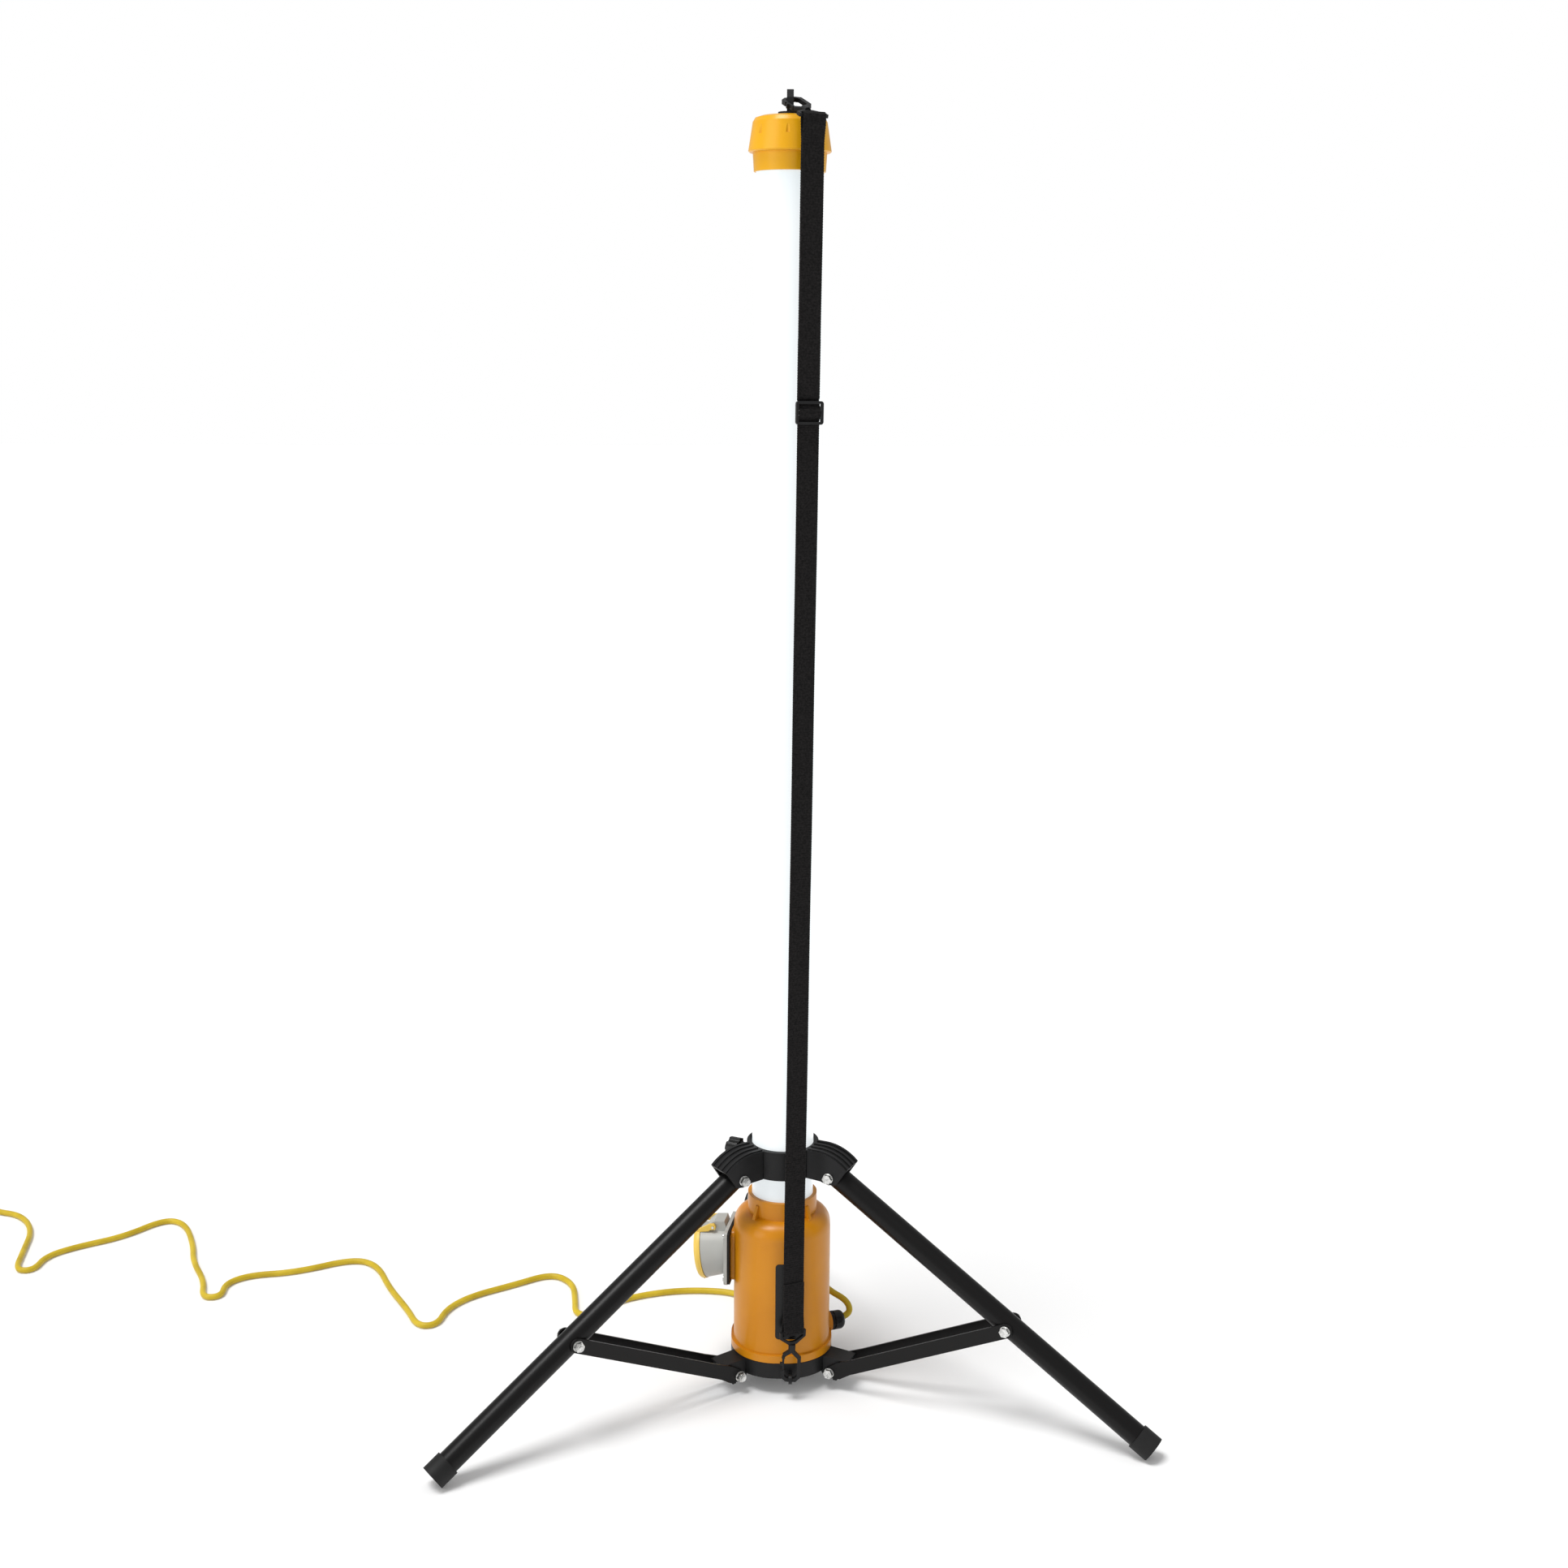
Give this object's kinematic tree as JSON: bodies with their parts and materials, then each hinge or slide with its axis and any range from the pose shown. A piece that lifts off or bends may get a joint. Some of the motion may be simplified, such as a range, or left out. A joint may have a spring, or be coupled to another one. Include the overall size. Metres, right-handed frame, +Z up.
{
  "type": "work light",
  "caption": "Upright LED tube site light on a folding tripod, with a moulded base, through socket, supply lead and carrying strap.",
  "frame": {"origin": "point on the floor under the lamp tube's axis", "axes": "+Z runs up the lamp tube; -Y is the side that carries the strap; one leg points along +Y"},
  "size_m": [1.5723, 0.7973, 1.433],
  "materials": {
    "orange_base": "satin moulded",
    "orange_cap": "satin moulded",
    "opal": "opal diffuser, lit from inside",
    "black_coat": "satin powder coat",
    "black_moulded": "moulded",
    "rubber": "matt",
    "zinc": "bright zinc",
    "socket_grey": "moulded",
    "safety_yellow": "moulded",
    "cord_yellow": "satin sheath",
    "brass": "plain",
    "aluminium": "extruded",
    "board": "white solder mask",
    "webbing": "ribbed"
  },
  "bodies": {
    "base": {"base_bracket": "black_moulded", "base_housing": "orange_base", "bracket_screws": "zinc", "carrier_ends": "black_moulded", "chassis_plate": "black_moulded", "cord_coil": "cord_yellow", "cord_tail": "cord_yellow", "diffuser_tube": "opal", "gland_body": "black_moulded", "gland_dome": "black_moulded", "gland_seal": "rubber", "hanging_eye": "black_moulded", "hook_bottom": "black_moulded", "hook_top": "black_moulded", "label_plate": "black_moulded", "led_boards": "board", "led_carrier": "aluminium", "led_driver": "black_moulded", "lid_pin": "zinc", "lower_seal": "rubber", "plug_body": "safety_yellow", "plug_nut": "safety_yellow", "plug_pins": "brass", "power_cord": "cord_yellow", "socket_body": "socket_grey", "socket_contacts": "brass", "socket_gasket": "rubber", "socket_insert": "socket_grey", "socket_screws": "zinc", "strap_buckle": "black_moulded", "strap_eye": "black_moulded", "strap_loop_bottom": "black_moulded", "strap_loop_top": "black_moulded", "strap_lower": "webbing", "strap_upper": "webbing", "top_cap": "orange_cap", "upper_seal": "rubber"},
    "collar": {"collar": "black_moulded", "collar_bolts": "zinc"},
    "knob": {"clamp_knob": "black_moulded", "clamp_screw": "zinc"},
    "socket_lid": {"socket_lid": "safety_yellow"},
    "gate_top": {"hook_gate_top": "black_moulded"},
    "gate_bottom": {"hook_gate_bottom": "black_moulded"},
    "leg_1": {"leg_tube_1": "black_coat", "foot_cap_1": "rubber", "leg_bolt_1": "zinc"},
    "brace_1": {"brace_1": "black_coat", "base_bolt_1": "zinc"},
    "leg_2": {"leg_tube_2": "black_coat", "foot_cap_2": "rubber", "leg_bolt_2": "zinc"},
    "brace_2": {"brace_2": "black_coat", "base_bolt_2": "zinc"},
    "leg_3": {"leg_tube_3": "black_coat", "foot_cap_3": "rubber", "leg_bolt_3": "zinc"},
    "brace_3": {"brace_3": "black_coat", "base_bolt_3": "zinc"}
  },
  "joints": [
    {"name": "collar_slide", "type": "slide", "parent": "base", "child": "collar", "axis": [0, 0, 1], "range_m": [0, 0.2482]},
    {"name": "leg_hinge_1", "type": "hinge", "parent": "collar", "child": "leg_1", "pos_m": [0, 0.0645, 0.26], "axis": [-1, 0, 0], "range_deg": [0, 53.45]},
    {"name": "brace_hinge_1", "type": "hinge", "parent": "leg_1", "child": "brace_1", "pos_m": [0, 0.27878, 0.12084], "axis": [1, 0, 0], "range_deg": [0, 115.02]},
    {"name": "leg_hinge_2", "type": "hinge", "parent": "collar", "child": "leg_2", "pos_m": [-0.05586, -0.03225, 0.26], "axis": [0.5, -0.866, 0], "range_deg": [0, 53.45]},
    {"name": "brace_hinge_2", "type": "hinge", "parent": "leg_2", "child": "brace_2", "pos_m": [-0.24143, -0.13939, 0.12084], "axis": [-0.5, 0.866, 0], "range_deg": [0, 115.02]},
    {"name": "leg_hinge_3", "type": "hinge", "parent": "collar", "child": "leg_3", "pos_m": [0.05586, -0.03225, 0.26], "axis": [0.5, 0.866, 0], "range_deg": [0, 53.45]},
    {"name": "brace_hinge_3", "type": "hinge", "parent": "leg_3", "child": "brace_3", "pos_m": [0.24143, -0.13939, 0.12084], "axis": [-0.5, -0.866, 0], "range_deg": [0, 115.02]},
    {"name": "knob_turn", "type": "hinge", "parent": "collar", "child": "knob", "pos_m": [-0.0472, 0.02725, 0.266], "axis": [-0.866, 0.5, 0], "range_deg": [-180, 180]},
    {"name": "socket_lid_hinge", "type": "hinge", "parent": "base", "child": "socket_lid", "pos_m": [-0.07646, 0.01906, 0.181], "axis": [0.2419, 0.9703, 0], "range_deg": [0, 95], "stiffness_Nm_per_rad": 0.02},
    {"name": "gate_hinge_top", "type": "hinge", "parent": "base", "child": "gate_top", "pos_m": [0.00028, -0.02642, 1.41241], "axis": [0.0326, 0.3722, -0.9276], "range_deg": [0, 6], "stiffness_Nm_per_rad": 0.05},
    {"name": "gate_hinge_bottom", "type": "hinge", "parent": "base", "child": "gate_bottom", "pos_m": [-0.0033, -0.06814, 0.05335], "axis": [-0.0871, -0.996, 0.0175], "range_deg": [0, 6], "stiffness_Nm_per_rad": 0.05}
  ],
  "couplings": [
    {"joint": "leg_hinge_1", "follows": "collar_slide", "rad_per_m": 3.7579},
    {"joint": "brace_hinge_1", "follows": "collar_slide", "rad_per_m": 8.0875},
    {"joint": "leg_hinge_2", "follows": "collar_slide", "rad_per_m": 3.7579},
    {"joint": "brace_hinge_2", "follows": "collar_slide", "rad_per_m": 8.0875},
    {"joint": "leg_hinge_3", "follows": "collar_slide", "rad_per_m": 3.7579},
    {"joint": "brace_hinge_3", "follows": "collar_slide", "rad_per_m": 8.0875}
  ]
}
